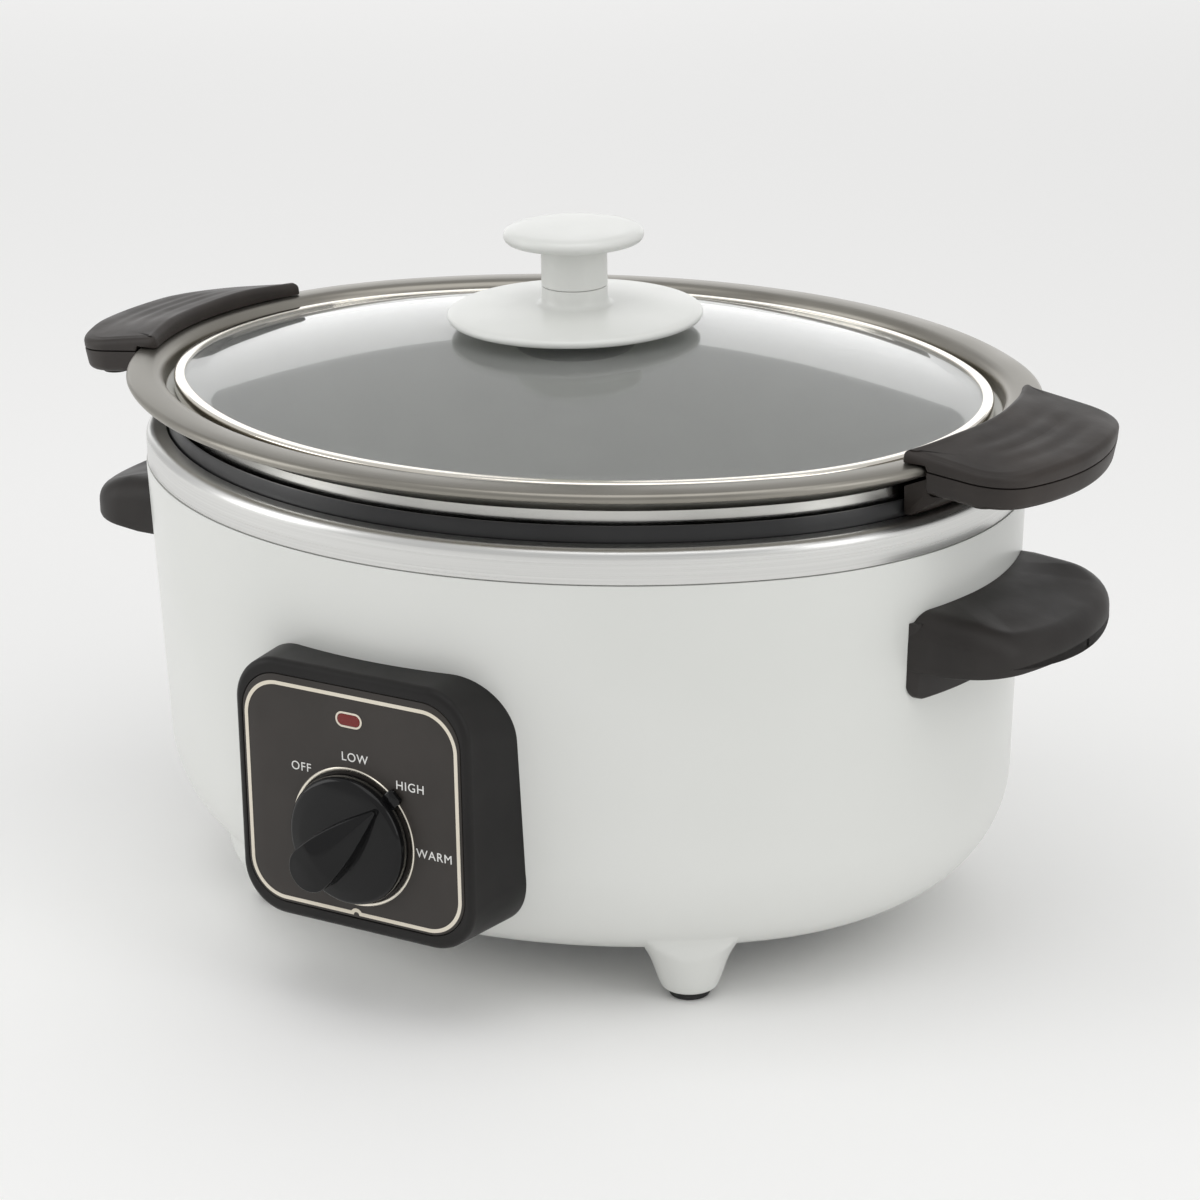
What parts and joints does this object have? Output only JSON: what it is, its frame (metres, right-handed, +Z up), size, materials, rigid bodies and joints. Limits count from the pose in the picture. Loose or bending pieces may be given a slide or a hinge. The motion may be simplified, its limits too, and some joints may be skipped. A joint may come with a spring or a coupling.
{
  "type": "slow cooker",
  "caption": "Oval slow cooker: heated base with a dial panel and side handles, a lift-out metal cooking pot with two handles, and a domed glass lid with a round knob.",
  "frame": {"origin": "middle of the object's outline on the surface it stands on", "axes": "+X to the right as seen by a user facing the dial, +Y to the back, +Z up"},
  "size_m": [0.427, 0.3223, 0.2602],
  "materials": {
    "housing": "satin warm white",
    "trim_band": "brushed along its length",
    "well_liner": "satin black",
    "heater": "woven mica and glass tape",
    "blanket": "glass fibre mat",
    "fastener": "zinc plated",
    "base_plate": "galvanised",
    "foot_rubber": "matt",
    "side_handle": "fine moulded texture",
    "panel": "satin",
    "face_plate": "fine satin",
    "dial_ring": "polished",
    "lens": "translucent red",
    "lamp": "neon lamp",
    "switch": "satin",
    "gland": "matt",
    "lead": "silicone sleeve",
    "dial": "polished",
    "pot": "polished",
    "pot_handle": "satin, ribbed",
    "pot_handle_under": "satin",
    "glass": "clear tempered",
    "lid_rim": "polished",
    "lid_knob": "satin white",
    "seal": "matt"
  },
  "bodies": {
    "base": {"housing": "housing", "trim_band": "trim_band", "well_liner": "well_liner", "heater_band": "heater", "insulation_blanket": "blanket", "well_stud": "fastener", "well_stud_nut": "fastener", "base_plate": "base_plate", "base_plate_screws": "fastener", "foot_pads": "foot_rubber", "side_handle_left": "side_handle", "side_handle_right": "side_handle", "side_handle_screws": "fastener", "panel_housing": "panel", "face_plate": "face_plate", "dial_ring": "dial_ring", "indicator_lens": "lens", "indicator_lamp": "lamp", "rotary_switch": "switch", "switch_nut": "fastener", "panel_screws": "fastener", "thermal_cutout": "switch", "terminal_block": "switch", "cord_gland": "gland", "supply_lead": "lead", "heater_lead": "lead", "lamp_lead": "lead"},
    "dial": {"control_knob": "dial", "switch_shaft": "fastener"},
    "pot": {"cooking_pot": "pot", "pot_handle_left_top": "pot_handle", "pot_handle_left_bottom": "pot_handle_under", "pot_handle_right_top": "pot_handle", "pot_handle_right_bottom": "pot_handle_under", "pot_handle_screws": "fastener"},
    "lid": {"lid_glass": "glass", "lid_rim": "lid_rim", "lid_knob": "lid_knob", "knob_base": "lid_knob", "knob_gasket": "seal", "knob_seal": "seal", "knob_screw": "fastener"}
  },
  "joints": [
    {"name": "dial_turn", "type": "hinge", "parent": "base", "child": "dial", "pos_m": [0, -0.1442, 0.0713], "axis": [0, 1, 0], "range_deg": [-90, 45]},
    {"name": "pot_lift", "type": "slide", "parent": "base", "child": "pot", "axis": [0, 0, 1], "range_m": [0, 0.2]},
    {"name": "lid_lift", "type": "slide", "parent": "pot", "child": "lid", "axis": [0, 0, 1], "range_m": [0, 0.15]}
  ]
}
